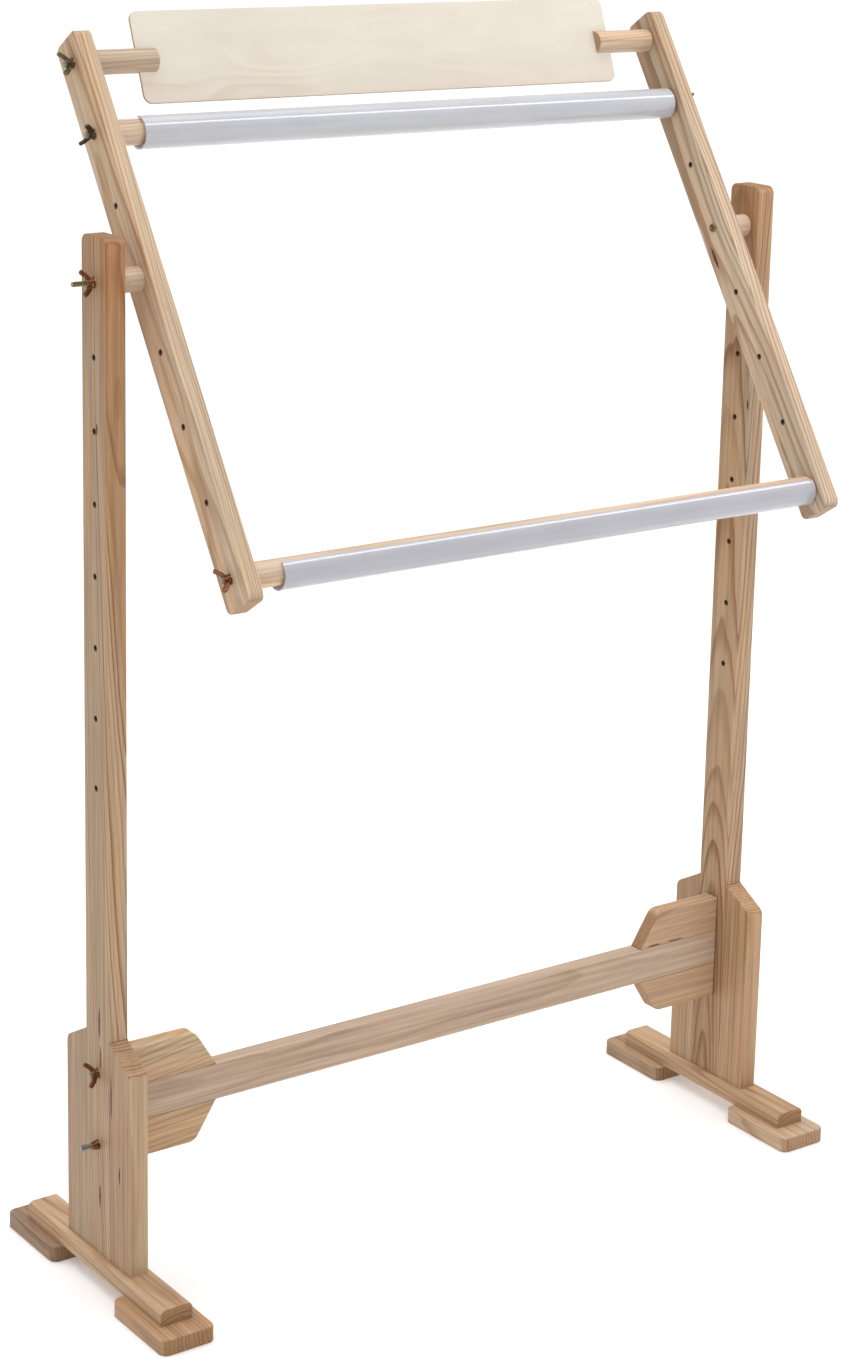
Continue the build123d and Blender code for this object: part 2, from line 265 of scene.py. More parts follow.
def linear(red, green, blue):
    """Scene colour of a display colour given from 0 to 255, by the sRGB curve."""
    parts = [channel / 255 for channel in (red, green, blue)]
    return tuple(p / 12.92 if p < 0.04045 else ((p + 0.055) / 1.055) ** 2.4 for p in parts)


def tint(tone, by):
    return tuple(a * b for a, b in zip(tone, by))


def extents(node, axes):
    """Middle and half size of a CAD node along three axes, from its own vertices."""
    vertices = [vertex.co for vertex in frame["nodes"][node].data.vertices]
    middle = Vector((0, 0, 0))
    halves = []
    for axis in axes:
        reach = [vertex.dot(axis) for vertex in vertices]
        low, high = min(reach), max(reach)
        middle += axis * (low + high) / 2
        halves.append((high - low) / 2)
    return middle, halves


def dress(node, material):
    """Gives a material to a CAD node that stays, and shades its curved faces smoothly."""
    piece = frame["nodes"][node]
    for slot in piece.material_slots:
        slot.material = material
    piece.data.shade_smooth()
    piece.data.set_sharp_from_angle(angle=SHARP_ANGLE)


# ---- softwood ----------------------------------------------------------------------------

WOOD = {
    "ring": 4.2,  # ring spacing, mm
    "pith": (45.0, 8.0),  # the tree's centre from the board's, across face and width, mm
    "lean": (0.02, 0.006),  # how that centre drifts along the board
    "contrast": 0.75,  # how strongly the latewood lines show
    "heart": 0.0,  # rings within this many mm of the tree's centre are redder
    "late": (0.56, 0.385, 0.26),  # latewood lines, against the board's own tone
    "streaks": (),  # along, across, half length and half width in mm, and the side of the board
    "seam": 0,  # the long edge with a dark glue line: 1 or -1 across
    "tight": 0,  # the end with a dark joint line: 1 or -1 along
    "front": (1.0, 1.0, 1.0),  # tint of the narrow edge that faces forward: partly the wood's own colour, partly painted light where the front light falls
    "holes": False,  # painted shade round its bolt holes: a dark ring that makes each hole look wider
    "mottle": 1.0,  # how strongly the board's colour drifts
    "end": 0.75,  # how strongly the cut ends are darkened
    "brown_top": None,  # a length of the top end in mm, and its tint
    "seed": 0.0,
}
# Tints, which multiply a board's own tone.
HEART_TINT = (0.90, 0.80, 0.70)
WARM_TINT = (1.05, 0.94, 0.82)
COOL_TINT = (0.98, 0.97, 0.97)
PINK_TINT = (1.00, 0.89, 0.82)
END_EARLY_TINT = (0.70, 0.56, 0.43)
END_LATE_TINT = (0.44, 0.30, 0.19)
PITCH_BROWN = (0.075, 0.018, 0.003)
# Painted shade: the near-black brown of the ring round each bolt hole.
BORE_SHADE_BROWN = (0.040, 0.020, 0.010)
# How the tone drifts: the noise values where each tint starts and is full.
MOTTLE = ((0.38, 0.62, WARM_TINT), (0.42, 0.66, COOL_TINT), (0.48, 0.66, PINK_TINT))
# From one noise value to another, the tone is multiplied from one number to another.
VEIN_SHADE = (0.32, 0.68, 1.14, 0.85)
FIBRE_SHADE = (0.25, 0.75, 0.92, 1.07)
BROWN_VEIN = (0.60, 0.76, 0.0, 0.5)  # and here it is mixed with the latewood's tone
# Noise cells in a metre, along the grain and across it.
WAVE_CELLS = (9.0, 42.0)
ZONE_CELLS = (2.2, 26.0)
FIBRE_CELLS = (34.0, 1500.0)
VEIN_CELLS = (5.0, 210.0)
SCAR_CELLS = (160.0, 900.0)
PITH_CELLS = 2.6
UNEVEN_CELLS = 70.0
PITH_WANDER = 22 * MM  # how far the tree's centre strays from its line
WAVE_DEPTH = 3.6 * MM  # how far the rings ripple
UNEVEN_RINGS = 2.2  # how many rings the spacing gains or loses
LATE_RISE = (0.42, 0.88)  # where in a ring the latewood starts, and is full
LATE_FALL = (0.92, 1.0)  # and where it ends
FAINT_YEAR = 0.30  # how strong the faintest year's line is
HEART_EDGE = (-5 * MM, 3 * MM)
FRONT_EDGE = (-1.0, -0.55)  # the front tint's fade, in half widths
SCAR_RAGGED = 0.9
SCAR_FADE = (0.75, 1.08)  # in half widths of the scar
SCAR_DEPTH = (2.5 * MM, 1.0 * MM)  # a scar shows from here to here below its face
SEAM_BAND = (1.1 * MM, 0.3 * MM)  # from the edge
JOINT_BAND = (1.5 * MM, 0.6 * MM)
WORN_BAND = (0.9 * MM, 3.2 * MM)  # the paler, smoother wood of an edge: partly wear, partly a painted highlight
WORN_RAGGED = 1.6 * MM
END_ON = (0.45, 0.92)  # how far a face is turned to the grain where it counts as cut
BORE_SHADE_RIM = (2.7 * MM, 3.8 * MM)  # painted shade round a bolt hole: a dark ring standing for the shade inside a wider bore
BORE_NEAR = 3 * MM  # a bore's vertices lie this near the board's centre line
BORE_APART = 12 * MM
BORE_VERTICES = 8
SCAR_STRENGTH, BORE_SHADE_STRENGTH, SEAM_STRENGTH, JOINT_STRENGTH = 0.96, 0.94, 0.80, 0.85
# How much paler the edges are, partly wear and partly a painted highlight, and how much smoother.
EDGE_WEAR_AND_HIGHLIGHT, WORN_SMOOTHER = 0.09, 0.05
WOOD_ROUGH = 0.40
WOOD_GLOSS = 0.30
WOOD_RELIEF = 0.25 * MM


class Board:
    """The recipe of a planed softwood board, cut from rings that run along its grain."""

    def __init__(self, node, grain, face, tone, look):
        self.node, self.tone, self.look = node, tone, look
        grain, face = grain.normalized(), face.normalized()
        self.axes = (grain, face, grain.cross(face))
        self.middle, halves = extents(node, self.axes)
        self.half_long, self.half_deep, self.half_wide = halves
        self.r = Recipe("wood_" + node)
        here = self.r.vector("SUBTRACT", self.r.place(), tuple(self.middle))
        self.along, self.deep, self.across = (self.r.dot(here, tuple(axis)) for axis in self.axes)

    def cells(self, scale, offset=(0.0, 0.0, 0.0)):
        """A place for noise: cells longer along the grain than across it."""
        r = self.r
        long_way, cross_way = scale
        across = r.times(self.deep, cross_way), r.times(self.across, cross_way)
        return r.vector("ADD", r.combine(r.times(self.along, long_way), *across), offset)

    def radius(self):
        """Distance from the tree's centre in metres, wavy like real growth."""
        r, seed = self.r, self.look["seed"]
        drift_at = r.combine(r.times(self.along, PITH_CELLS), seed, 0.0)
        drift = r.noise(drift_at, detail=1.0, output=NOISE_COLOUR)
        places = self.deep, self.across
        sideways = []
        for place, axis, pith, lean in zip(places, (X, Y), self.look["pith"], self.look["lean"]):
            wander = r.times(r.dot(drift, axis), PITH_WANDER)
            centre = r.add(r.times(self.along, lean), wander, pith * MM - PITH_WANDER / 2)
            sideways.append(r.calc("SUBTRACT", place, centre))
        wave = r.noise(self.cells(WAVE_CELLS, (seed, seed, 0.0)), detail=2.0)
        return r.add(r.length(*sideways), r.times(wave, WAVE_DEPTH))

    def latewood(self, radius):
        """The dark line that ends each ring, fainter in some years: from 0 to 1."""
        r, seed = self.r, self.look["seed"]
        uneven = r.noise(r.combine(r.times(radius, UNEVEN_CELLS), seed, 0.0), detail=1.0)
        rings = r.times(radius, 1 / (self.look["ring"] * MM))
        count = r.add(rings, r.times(uneven, UNEVEN_RINGS))
        part = r.calc("FRACT", count)
        year = r.dice(r.add(r.calc("FLOOR", count), seed))
        late = r.calc("MINIMUM", r.ramp(part, *LATE_RISE), r.ramp(part, *LATE_FALL, 1.0, 0.0))
        return r.times(late, r.ramp(year, 0.0, 1.0, FAINT_YEAR, 1.0))

    def base(self, radius, zones):
        """The board's colour: it drifts, and differs at the heart, front edge and top. The front
        edge's tint is partly painted light.
        """
        r, look, tone = self.r, self.look, self.tone
        colour = r.shade(tone, 1.0)
        for zone, (start, full, by) in zip(zones, MOTTLE):
            here = r.ramp(zone, start, full, 0.0, look["mottle"])
            colour = r.mix(here, colour, tint(tone, by))
        if look["brown_top"]:
            reach, stain = look["brown_top"]
            top = r.ramp(self.along, self.half_long - reach * MM, self.half_long)
            colour = r.mix(top, colour, r.multiply(colour, stain))
        # Partly painted light: the forward part of the board is tinted, mostly lighter, as if the
        # front light falls there.
        front_tint_and_light = r.ramp(r.times(self.across, 1 / self.half_wide), *FRONT_EDGE, 1.0, 0.0)
        colour = r.mix(front_tint_and_light, colour, r.multiply(colour, look["front"]))
        if look["heart"]:
            edge = (look["heart"] * MM + step for step in HEART_EDGE)
            inside = r.ramp(radius, *edge, 1.0, 0.0)
            colour = r.mix(inside, colour, r.multiply(colour, HEART_TINT))
        return colour

    def scars(self):
        """Dark pitch pockets and scars, each on one broad face."""
        r = self.r
        total = 0.0
        long_way, cross_way = SCAR_CELLS
        u, v = r.times(self.along, long_way), r.times(self.across, cross_way)
        rough = r.noise(r.combine(u, v, self.deep), detail=2.0)
        for at_along, at_across, half_long, half_wide, side in self.look["streaks"]:
            u = r.times(r.add(self.along, -at_along * MM), 1 / (half_long * MM))
            v = r.times(r.add(self.across, -at_across * MM), 1 / (half_wide * MM))
            reach = r.add(r.length(u, v), r.times(rough, SCAR_RAGGED), -SCAR_RAGGED / 2)
            depth = (self.half_deep - inset for inset in SCAR_DEPTH)
            face = r.ramp(r.times(self.deep, side), *depth)
            total = r.add(total, r.times(r.ramp(reach, *SCAR_FADE, 1.0, 0.0), face))
        return r.calc("MINIMUM", total, SCAR_STRENGTH)

    def bores(self):
        """Where bolt holes cross the board's centre line, along it from the middle, in metres."""
        grain, _, wide = self.axes
        places = []
        for vertex in frame["nodes"][self.node].data.vertices:
            off = vertex.co - self.middle
            if abs(off.dot(wide)) < BORE_NEAR:
                places.append(off.dot(grain))
        groups = []
        for place in sorted(places):
            if groups and place - groups[-1][0] < BORE_APART:
                groups[-1].append(place)
            else:
                groups.append([place])
        found = [group for group in groups if len(group) >= BORE_VERTICES]
        return [(group[0] + group[-1]) / 2 for group in found]

    def edge_line(self, place, way, half, band):
        """A dark line along one edge or end, where another board meets it."""
        return self.r.ramp(self.r.times(place, way), *(half - inset for inset in band))

    def marks(self, colour):
        """Adds pitch, painted shade round the bolt holes and the lines of joints to a colour."""
        r, look = self.r, self.look
        if look["streaks"]:
            colour = r.mix(self.scars(), colour, PITCH_BROWN)
        # Painted shade: a dark ring round each bolt hole, standing for the shade inside a wider
        # hole.
        for bore in self.bores() if look["holes"] else ():
            near = r.length(r.add(self.along, -bore), self.across)
            colour = r.mix(r.ramp(near, *BORE_SHADE_RIM, BORE_SHADE_STRENGTH, 0.0), colour, BORE_SHADE_BROWN)
        if look["seam"]:
            seam = self.edge_line(self.across, look["seam"], self.half_wide, SEAM_BAND)
            colour = r.mix(r.times(seam, SEAM_STRENGTH), colour, PITCH_BROWN)
        if look["tight"]:
            joint = self.edge_line(self.along, look["tight"], self.half_long, JOINT_BAND)
            colour = r.mix(r.times(joint, JOINT_STRENGTH), colour, PITCH_BROWN)
        return colour

    def worn(self, ragged):
        """The board's long edges, rubbed by hands and sanding and lightened by a painted
        highlight: from 0 to 1.
        """
        r = self.r
        insets = (
            r.calc("SUBTRACT", half, r.calc("ABSOLUTE", place))
            for half, place in ((self.half_deep, self.deep), (self.half_wide, self.across))
        )
        inset = r.calc("MAXIMUM", *insets)
        return r.ramp(r.add(inset, r.times(ragged, WORN_RAGGED)), *WORN_BAND, 1.0, 0.0)

    def finish(self):
        """Puts the whole board together, and gives its material."""
        r, look, tone = self.r, self.look, self.tone
        seed = look["seed"]
        radius = self.radius()
        late = self.latewood(radius)
        zone = r.noise(self.cells(ZONE_CELLS, (0.0, seed, seed)), detail=2.0, output=NOISE_COLOUR)
        zones = [r.dot(zone, axis) for axis in (X, Y, Z)]
        fibre = r.noise(self.cells(FIBRE_CELLS), detail=3.0, roughness=0.62)
        vein = r.noise(self.cells(VEIN_CELLS, (seed, 0.0, seed)), detail=3.0, roughness=0.6)

        colour = self.base(radius, zones)
        line = r.multiply(colour, look["late"])
        colour = r.mix(r.times(late, look["contrast"]), colour, line)
        colour = r.shade(colour, r.ramp(vein, *VEIN_SHADE))
        colour = r.shade(colour, r.ramp(fibre, *FIBRE_SHADE))
        colour = r.mix(r.ramp(vein, *BROWN_VEIN), colour, tint(tone, look["late"]))

        turned_to_grain = r.calc("ABSOLUTE", r.dot(r.normal(), tuple(self.axes[0])))
        end = r.ramp(turned_to_grain, *END_ON)
        cut = r.mix(late, tint(tone, END_EARLY_TINT), tint(tone, END_LATE_TINT))
        colour = self.marks(r.mix(r.times(end, look["end"]), colour, cut))
        edge = self.worn(zones[2])
        # The edges are made paler: partly wear, partly a painted highlight along the arrises.
        colour = r.shade(colour, r.add(1.0, r.times(edge, EDGE_WEAR_AND_HIGHLIGHT)))

        rough = r.add(WOOD_ROUGH, r.times(late, 0.10), r.times(fibre, 0.14), r.times(end, 0.16))
        rough = r.calc("SUBTRACT", rough, r.times(edge, WORN_SMOOTHER))
        r.set(Base_Color=colour, Roughness=rough, Specular_IOR_Level=WOOD_GLOSS)
        relief = r.add(r.times(late, 0.5), r.times(fibre, 0.5), r.times(edge, -0.2))
        r.bump(relief, 0.22, WOOD_RELIEF)
        return r.material


def wood(node, grain, face, tone, **changes):
    dress(node, Board(node, grain, face, tone, {**WOOD, **changes}).finish())


def bar_grain():
    """The side bars' direction, from the joints at their top and bottom bolt holes."""
    top, bottom = (Vector(joints[name]["pos_m"]) for name in ("top_rod_turn", "bottom_rod_turn"))
    return (top - bottom).normalized()


BAR_GRAIN = bar_grain()

POST_TONE = linear(171, 147, 119)
RIGHT_POST_TONE = linear(170, 143, 113)
LEFT_BAR_TONE = linear(194, 171, 144)
RIGHT_BAR_TONE = linear(193, 176, 154)
SHOULDER_TONE = {"left": linear(171, 145, 117), "right": linear(184, 154, 122)}
REAR_SHOULDER_TONE = {"left": linear(167, 145, 120), "right": linear(176, 148, 118)}
FOOT_TONE = {"left": linear(182, 154, 124), "right": linear(181, 152, 121)}
# The rear pads' darker tones are painted shade, standing for the shadow they sit in.
PAD_TONE_AND_SHADE = {
    ("left", "front"): linear(172, 139, 107),
    ("left", "rear"): linear(145, 120, 98),
    ("right", "front"): linear(187, 163, 137),
    ("right", "rear"): linear(160, 134, 107),
}
RAIL_TONE = linear(180, 156, 135)
GUSSET_TONE = {"left": linear(188, 162, 130), "right": linear(181, 149, 119)}
DOWEL_TONE = linear(202, 181, 159)
PEG_TONE = {"left": linear(189, 169, 146), "right": linear(201, 181, 157)}
POST_SCARS = (
    (-263, -4, 17, 1.7, -1),
    (-300, -6, 13, 1.3, -1),
    (-447, -3.5, 13, 2.2, -1),
    (330, -5, 6, 1.6, -1),
)
SHOULDER_SCARS = ((60, 16, 24, 1.4, -1), (-16, 0, 10, 1.5, -1))
GUSSET_SCARS = ((-36, -18, 9, 1.0, -1), (-6, -18, 12, 0.8, -1))

wood(
    "post_left", Z, X, POST_TONE, seed=1.3, pith=(24, -60), lean=(-0.05, 0.020), ring=3.2,
    heart=43, contrast=0.95, front=(1.06, 1.07, 1.08), brown_top=(150, (0.95, 0.80, 0.66)),
    streaks=POST_SCARS, holes=True,
)
wood(
    "post_right", Z, X, RIGHT_POST_TONE, seed=4.7, pith=(40, 4), lean=(0.060, 0.004), ring=4.4,
    heart=34, contrast=0.9, front=(1.08, 1.16, 1.32), brown_top=(240, (1.04, 0.93, 0.80)),
    streaks=((274, -20, 6, 1.6, -1),), holes=True,
)
wood(
    "side_bar_left", BAR_GRAIN, X, LEFT_BAR_TONE, seed=7.1, pith=(70, 10), lean=(0.012, 0.03),
    ring=3.0, contrast=0.85, late=(0.64, 0.49, 0.36), holes=True,
)
wood(
    "side_bar_right", BAR_GRAIN, X, RIGHT_BAR_TONE, seed=9.4, pith=(48, 14), lean=(0.02, 0.01),
    ring=3.4, contrast=0.85, front=(1.08, 1.08, 1.10), brown_top=(330, (0.82, 0.78, 0.72)),
    streaks=((9.5, 13, 13, 2.2, -1),), holes=True,
)

# What differs between the boards of the left and right base.
BASE_LOOKS = {
    "left": {
        "shoulder": {
            "ring": 3.4,
            "contrast": 0.9,
            "front": (1.10, 1.13, 1.12),
            "streaks": SHOULDER_SCARS,
        },
        "gusset": {"ring": 5.6, "contrast": 0.7, "pith": (18, 75)},
        "upper": {},
    },
    "right": {
        "shoulder": {"ring": 2.7, "contrast": 1.0, "front": (0.92, 0.86, 0.82)},
        "gusset": {"ring": 4.2, "contrast": 0.35, "pith": (60, 20), "mottle": 0.5},
        "upper": {"streaks": GUSSET_SCARS},
    },
}


def base_boards(side, seed):
    """The boards of one post's foot, each with a seed of its own."""
    looks = BASE_LOOKS[side]
    wood(
        f"shoulder_{side}_front", Z, X, SHOULDER_TONE[side], seed=seed, pith=(8, 90),
        lean=(0.004, 0.01), end=0.35, seam=1, **looks["shoulder"],
    )
    wood(
        f"shoulder_{side}_rear", Z, X, REAR_SHOULDER_TONE[side], seed=seed + 1, pith=(12, 80),
        lean=(0.004, 0.008), end=0.35, seam=-1, ring=3.0, contrast=0.9,
    )
    wood(
        f"foot_bar_{side}", Y, Z, FOOT_TONE[side], seed=seed + 2, pith=(-44, 9),
        lean=(0.02, 0.01), ring=4.6, mottle=0.5,
    )
    for place, step in {"front": 3, "rear": 4}.items():
        wood(
            f"foot_pad_{side}_{place}", Y, Z, PAD_TONE_AND_SHADE[side, place], seed=seed + step,
            pith=(12, 84), lean=(0.03, 0.03), ring=4.4, mottle=0.5,
        )
    gusset = looks["gusset"] | {"tight": SIDES[side]}
    wood(
        f"gusset_{side}_upper", X, Y, GUSSET_TONE[side], seed=seed + 5, lean=(0.02, 0.14),
        seam=-1, **gusset, **looks["upper"],
    )
    wood(
        f"gusset_{side}_lower", X, Y, GUSSET_TONE[side], seed=seed + 6, lean=(0.02, 0.03),
        seam=1, **gusset,
    )
    dowel = {"ring": 3.4, "contrast": 0.4}
    wood(f"spacer_{side}", X, Y, DOWEL_TONE, seed=seed + 7, pith=(30, 40), **dowel)
    wood(f"peg_{side}", X, Y, PEG_TONE[side], seed=seed + 8, pith=(26, 30), **dowel)


base_boards("left", 12.0)
base_boards("right", 15.0)
wood(
    "stretcher_rail", X, Y, RAIL_TONE, seed=31.0, pith=(48, 10), lean=(0.012, 0.004), ring=3.2,
    contrast=0.3, mottle=0.15, tight=1,
)
wood("rod_top", X, Y, DOWEL_TONE, seed=33.0, pith=(30, 24), ring=3.6, contrast=0.4)
wood("rod_bottom", X, Y, DOWEL_TONE, seed=36.0, pith=(24, 34), ring=3.6, contrast=0.4)

# ---- plywood -----------------------------------------------------------------------------

PLY_CORE = 0.55 * MM  # half the thickness of the middle ply
PLY_GLUE = 0.12 * MM
PLY_RING = 7.5 * MM  # the knife crosses a ring each time the log's surface falls this far
PLY_SWELL = 85 * MM  # how far the log's surface rises and falls
PLY_SLOPE = 0.35
PLY_CELLS = {  # noise cells in a metre, along the face's grain and across it
    "swell": (3.4, 11.0),
    "patch": (5.0, 9.0),
    "cloud": (9.0, 30.0),
    "fibre": (60.0, 1400.0),
    "fleck": (210.0, 700.0),
    "saw": (900.0, 900.0),
}
PLY_FLAME_TINT = (0.86, 0.77, 0.66)
PLY_FLECK_TINT = (0.62, 0.50, 0.38)
PLY_OUTER_TINT = (0.80, 0.68, 0.52)
PLY_INNER_TINT = (0.52, 0.38, 0.26)
PLY_GLUE_TINT = (0.25, 0.17, 0.11)


def plywood(node, face, tone):
    """Three plies of birch: a pale rotary-cut face with a faint flame, and striped edges."""
    r = Recipe("plywood")
    wide = face.cross(X)
    middle, (_, half_deep, _) = extents(node, (X, face, wide))
    here = r.vector("SUBTRACT", r.place(), tuple(middle))
    along, deep, across = (r.dot(here, tuple(axis)) for axis in (X, face, wide))

    def figure(name, third, detail, roughness=0.5):
        long_way, cross_way = PLY_CELLS[name]
        place = r.combine(r.times(along, long_way), r.times(across, cross_way), third)
        return r.noise(place, detail, roughness)

    swell = figure("swell", 0.7, 2.0, 0.45)
    height = r.add(r.times(swell, PLY_SWELL), r.times(across, PLY_SLOPE))
    flame = r.calc("FRACT", r.times(height, 1 / PLY_RING))
    flame = r.calc("MINIMUM", r.ramp(flame, 0.15, 0.80), r.ramp(flame, 0.90, 1.0, 1.0, 0.0))
    flame = r.times(flame, r.ramp(figure("patch", 3.1, 1.0), 0.46, 0.66))
    cloud = figure("cloud", 8.0, 3.0)
    fibre = figure("fibre", deep, 2.0)
    fleck = figure("fleck", 5.5, 1.0)
    colour = r.shade(tone, r.ramp(cloud, 0.3, 0.7, 0.965, 1.03))
    colour = r.mix(r.times(flame, 0.42), colour, tint(tone, PLY_FLAME_TINT))
    colour = r.shade(colour, r.ramp(fibre, 0.25, 0.75, 0.975, 1.02))
    colour = r.mix(r.ramp(fleck, 0.73, 0.80, 0.0, 0.5), colour, tint(tone, PLY_FLECK_TINT))

    side_on = r.calc("ABSOLUTE", r.dot(r.normal(), tuple(face)))
    edge = r.ramp(side_on, 0.35, 0.75, 1.0, 0.0)
    depth = r.calc("ABSOLUTE", deep)
    core = r.ramp(depth, PLY_CORE - PLY_GLUE, PLY_CORE, 1.0, 0.0)
    from_glue = r.calc("ABSOLUTE", r.add(depth, -PLY_CORE))
    glue = r.ramp(from_glue, 0.0, PLY_GLUE, 1.0, 0.0)
    plies = r.mix(core, tint(tone, PLY_OUTER_TINT), tint(tone, PLY_INNER_TINT))
    plies = r.mix(r.times(glue, 0.8), plies, tint(tone, PLY_GLUE_TINT))
    plies = r.shade(plies, r.ramp(figure("saw", 2.0, 2.0), 0.3, 0.7, 0.88, 1.10))
    colour = r.mix(edge, colour, plies)
    r.set(Base_Color=colour, Specular_IOR_Level=0.35)
    r.set(Roughness=r.add(0.46, r.times(fibre, 0.12), r.times(edge, 0.18)))
    r.bump(r.add(r.times(fibre, 0.6), r.times(flame, 0.3)), 0.18, 0.15 * MM)
    dress(node, r.material)


BOARD_TONE = linear(218, 209, 196)
BOARD_FACE = X.cross(Vector(joints["board_lift"]["axis"])).normalized()

plywood("chart_board", BOARD_FACE, BOARD_TONE)

# ---- plastic -----------------------------------------------------------------------------

SCUFF_TINT = (0.84, 0.84, 0.86)


def plastic(node, tone, seed):
    """Extruded rigid PVC: faint lines along the tube, scuffs and a satin gloss."""
    r = Recipe("pvc_" + node)
    x, y, z = (r.dot(r.place(), axis) for axis in (X, Y, Z))

    def streaky(along, across, detail, offset=0.0):
        """Noise with this many cells in a metre, along the tube and across it."""
        place = r.combine(r.times(x, along), r.times(y, across), r.add(r.times(z, across), offset))
        return r.noise(place, detail=detail)

    lines = streaky(1.6, 520.0, 3.0, seed)
    cloud = streaky(14.0, 60.0, 2.0, seed)
    scuff = r.ramp(streaky(60.0, 900.0, 3.0), 0.62, 0.74)
    colour = r.shade(tone, r.ramp(cloud, 0.3, 0.7, 0.97, 1.03))
    colour = r.shade(colour, r.ramp(lines, 0.3, 0.7, 0.975, 1.02))
    colour = r.mix(r.times(scuff, 0.18), colour, tint(tone, SCUFF_TINT))
    r.set(Base_Color=colour, Specular_IOR_Level=0.55)
    r.set(Roughness=r.add(0.10, r.times(cloud, 0.08), r.times(scuff, 0.22)))
    r.bump(r.add(r.times(lines, 0.7), r.times(scuff, -0.4)), 0.12, 0.10 * MM)
    dress(node, r.material)


# The two clips are the same plastic: the bottom clip's darker tone is painted shade.
plastic("clip_top", linear(185, 186, 191), 0.0)
plastic("clip_bottom", linear(176, 175, 182), 5.0)

# ---- metals ------------------------------------------------------------------------------

PER_MM = 1 / MM  # turns metres into millimetres
TARNISH_TINT = (0.55, 0.50, 0.46)
ZINC_BRIGHT = (0.29, 0.26, 0.22)
ZINC_ROOT_DARK = (0.06, 0.04, 0.03)


def plated(name, tone, worn, rough=0.36):
    """Antique plating: dark in the hollows, rubbed through on the raised edges."""
    r = Recipe(name)
    place = r.shade(r.place(), PER_MM)
    patch = r.noise(place, detail=3.0, scale=0.35)
    grit = r.noise(place, detail=4.0, roughness=0.65, scale=2.6)
    raised = r.node("NewGeometry", {}, output="Pointiness")
    rubbed = r.ramp(r.add(raised, r.times(grit, 0.06)), 0.53, 0.60)
    colour = r.mix(r.ramp(patch, 0.35, 0.65), tone, tint(tone, TARNISH_TINT))
    colour = r.shade(colour, r.ramp(grit, 0.3, 0.7, 0.78, 1.15))
    colour = r.mix(r.times(rubbed, 0.85), colour, worn)
    r.set(Base_Color=colour, Metallic=0.92)
    r.set(Roughness=r.add(rough, r.times(grit, 0.16), r.times(rubbed, -0.10)))
    r.bump(grit, 0.20, 0.12 * MM)
    return r.material


def zinc():
    """Bright zinc plate, dark brown in the thread's roots."""
    r = Recipe("zinc")
    place = r.shade(r.place(), PER_MM)
    grit = r.noise(place, detail=3.0, scale=1.8)
    raised = r.node("NewGeometry", {}, output="Pointiness")
    root = r.ramp(raised, 0.40, 0.50, 1.0, 0.0)
    colour = r.mix(r.times(root, 0.8), ZINC_BRIGHT, ZINC_ROOT_DARK)
    colour = r.shade(colour, r.ramp(grit, 0.3, 0.7, 0.85, 1.08))
    r.set(Base_Color=colour, Metallic=1.0, Roughness=r.add(0.22, r.times(grit, 0.24)))
    return r.material


# Each metal's name, its colour, and its colour where it is rubbed through.
COPPER = plated("antique_copper", (0.190, 0.085, 0.040), (0.42, 0.24, 0.13))
OLIVE = plated("antique_brass", (0.085, 0.075, 0.040), (0.34, 0.30, 0.18))
BRASS = plated("bolt_brass", (0.080, 0.062, 0.030), (0.40, 0.32, 0.17), rough=0.20)
ZINC = zinc()

# ---- turned and threaded pieces ----------------------------------------------------------

ROUND = 20  # faces round a stud or bolt
THREAD_PITCH = 0.8 * MM
THREAD_DEPTH = 0.42 * MM
THREAD_STEPS = 6  # rows of faces for each turn of the thread
THREAD_SLOPE = 1.3  # more than 1 leaves a flat on the thread's crest and root
THREAD_ROOT = 0.15
STUD_R = 2.5 * MM
TIP_BEVEL = 0.5 * MM
STUDS_APART = 20 * MM  # vertices further apart than this belong to different studs


def turned(rows):
    """A closed skin round Z: each row is a height and a radius, or a radius for each angle."""
    verts = [(0.0, 0.0, rows[0][0])]
    faces = []
    for height, radius in rows:
        for k in range(ROUND):
            angle = 2 * math.pi * k / ROUND
            size = radius(angle) if callable(radius) else radius
            verts.append((size * math.cos(angle), size * math.sin(angle), height))
    verts.append((0.0, 0.0, rows[-1][0]))
    for k in range(ROUND):
        after = (k + 1) % ROUND
        faces.append((0, 1 + after, 1 + k))
        for row in range(len(rows) - 1):
            low, high = 1 + row * ROUND, 1 + (row + 1) * ROUND
            faces.append((low + k, low + after, high + after, high + k))
        last = 1 + (len(rows) - 1) * ROUND
        faces.append((last + k, last + after, len(verts) - 1))
    return verts, faces


def thread_radius(height):
    """The radius of a thread at a height, for any angle round the stud."""

    def radius(angle):
        turn = (height / THREAD_PITCH - angle / (2 * math.pi)) % 1.0
        slope = abs(2 * turn - 1)
        crest = min(1.0, max(0.0, THREAD_SLOPE * slope - THREAD_ROOT))
        return STUD_R - (1 - crest) * THREAD_DEPTH

    return radius


def thread_rows(start, end):
    """Rows of thread between two heights, with both ends bevelled a little."""
    rows = [(start, STUD_R - TIP_BEVEL)]
    length = end - start - 2 * TIP_BEVEL
    count = round(length / THREAD_PITCH * THREAD_STEPS)
    for i in range(count + 1):
        height = start + TIP_BEVEL + length * i / count
        rows.append((height, thread_radius(height)))
    rows.append((end, STUD_R - TIP_BEVEL))
    return rows


def out_along(side, x, y, z):
    """Turns a piece made round Z so that Z points away from the middle, standing at x."""
    outward = X * side
    turn = Matrix((Z, outward.cross(Z), outward)).transposed()
    return Matrix.Translation((x, y, z)) @ turn.to_4x4()


